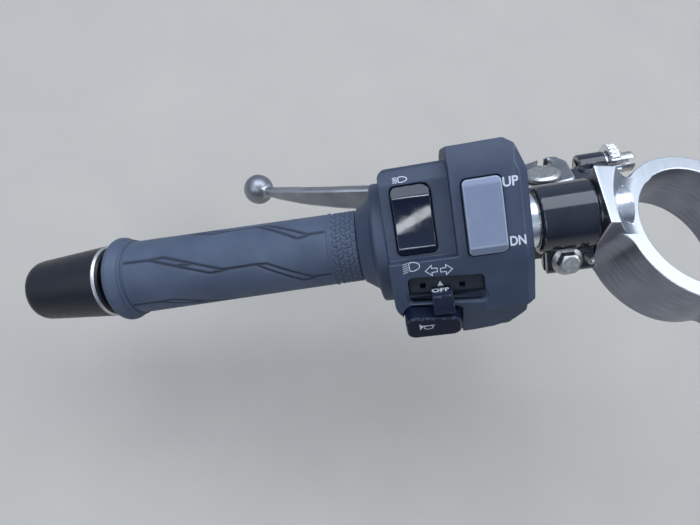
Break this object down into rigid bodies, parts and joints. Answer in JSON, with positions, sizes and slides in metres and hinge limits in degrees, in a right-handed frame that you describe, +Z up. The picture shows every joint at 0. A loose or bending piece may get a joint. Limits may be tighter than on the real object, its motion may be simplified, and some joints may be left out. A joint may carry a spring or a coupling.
{
  "type": "left clip-on handlebar of a sport bike",
  "caption": "Clip-on handlebar with fork clamp, bar, clutch lever on its perch, switch housing, rubber grip and bar-end weight.",
  "frame": {"origin": "centre of the clamp's fork bore, at the middle of its height", "axes": "+Z up along the fork, +X inboard to the bike's middle, +Y forward; the bar leaves towards -X"},
  "size_m": [0.3185, 0.1388, 0.1414],
  "materials": {
    "brushed_aluminium": "brushed",
    "bright_aluminium": "bright, turned",
    "black_enamel": "gloss",
    "zinc_steel": "zinc plated",
    "silver_lever": "satin",
    "grained_grey_plastic": "fine grain",
    "matte_black_plastic": "matte",
    "gloss_black_plastic": "gloss",
    "pale_grey_plastic": "satin",
    "black_rubber": "matte",
    "grip_rubber": "matte",
    "black_weight": "satin"
  },
  "bodies": {
    "handlebar": {"fork_clamp": "brushed_aluminium", "pinch_bolt": "zinc_steel", "bar_tube": "bright_aluminium", "lever_perch": "black_enamel", "perch_bolt": "zinc_steel", "perch_pin": "zinc_steel", "pivot_bolt": "zinc_steel", "pivot_nut": "zinc_steel", "clutch_switch": "matte_black_plastic", "adjuster_screw": "zinc_steel", "adjuster_wheel": "bright_aluminium", "switch_case_rear": "grained_grey_plastic", "switch_case_front": "grained_grey_plastic", "case_screws": "zinc_steel", "beam_switch": "gloss_black_plastic", "select_switch": "pale_grey_plastic", "turn_plate": "matte_black_plastic", "turn_switch": "gloss_black_plastic", "horn_button": "gloss_black_plastic", "harness_boot": "black_rubber", "grip": "grip_rubber", "bar_end_weight": "black_weight", "bar_end_screw": "zinc_steel"},
    "lever": {"clutch_lever": "silver_lever"}
  },
  "joints": [
    {"name": "lever_pull", "type": "hinge", "parent": "handlebar", "child": "lever", "pos_m": [-0.04311, 0.03406, -0.01792], "axis": [-0.2562, 0.5592, 0.7885], "range_deg": [0, 16]}
  ]
}
